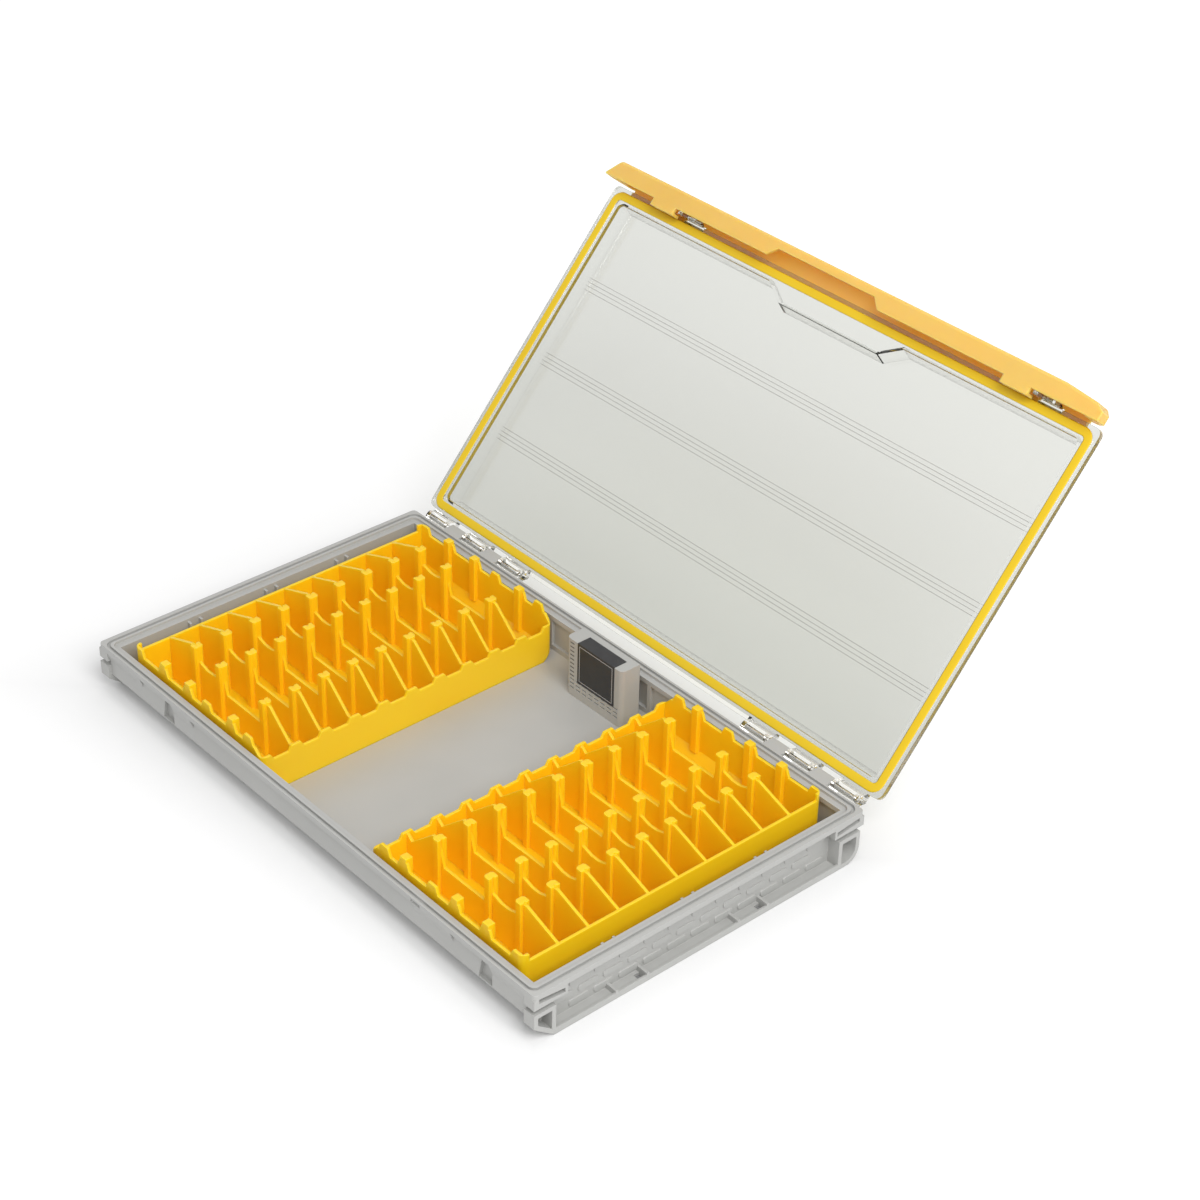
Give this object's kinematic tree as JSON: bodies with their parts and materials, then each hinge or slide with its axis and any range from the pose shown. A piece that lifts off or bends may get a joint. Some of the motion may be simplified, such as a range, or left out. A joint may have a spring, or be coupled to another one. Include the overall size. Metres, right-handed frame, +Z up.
{
  "type": "lure storage box",
  "caption": "Shallow rectangular tackle box with a clear hinged lid, a full-width latch bar, a seal and two lure trays beside a middle compartment.",
  "frame": {"origin": "middle of the case on the surface it rests on, centred on the rim's outer rectangle", "axes": "+X along the hinge to the right, +Y from the latch side to the hinge side, +Z up"},
  "size_m": [0.3645, 0.3736, 0.2056],
  "materials": {
    "case_grey": "satin moulded",
    "tray_yellow": "satin moulded",
    "clear_lid": "clear polished",
    "seal_yellow": "soft matt",
    "latch_yellow": "satin moulded",
    "pin_steel": "drawn wire",
    "holder_grey": "satin moulded",
    "pouch_white": "paper-like fleece",
    "label_black": "printed film, left blank"
  },
  "bodies": {
    "case": {"base_case": "case_grey", "tray_left": "tray_yellow", "tray_right": "tray_yellow", "desiccant_holder": "holder_grey", "holder_cover": "holder_grey", "desiccant_pack": "pouch_white", "holder_label": "label_black", "hinge_pin_left": "pin_steel", "hinge_pin_right": "pin_steel"},
    "lid": {"lid": "clear_lid", "lid_seal": "seal_yellow", "latch_pin_left": "pin_steel", "latch_pin_right": "pin_steel"},
    "latch": {"latch": "latch_yellow"}
  },
  "joints": [
    {"name": "lid_hinge", "type": "hinge", "parent": "case", "child": "lid", "pos_m": [0, 0.1111, 0.0276], "axis": [1, 0, 0], "range_deg": [0, 131]},
    {"name": "latch_pivot", "type": "hinge", "parent": "lid", "child": "latch", "pos_m": [0, 0.25815, 0.18412], "axis": [-1, 0, 0], "range_deg": [0, 100]}
  ]
}
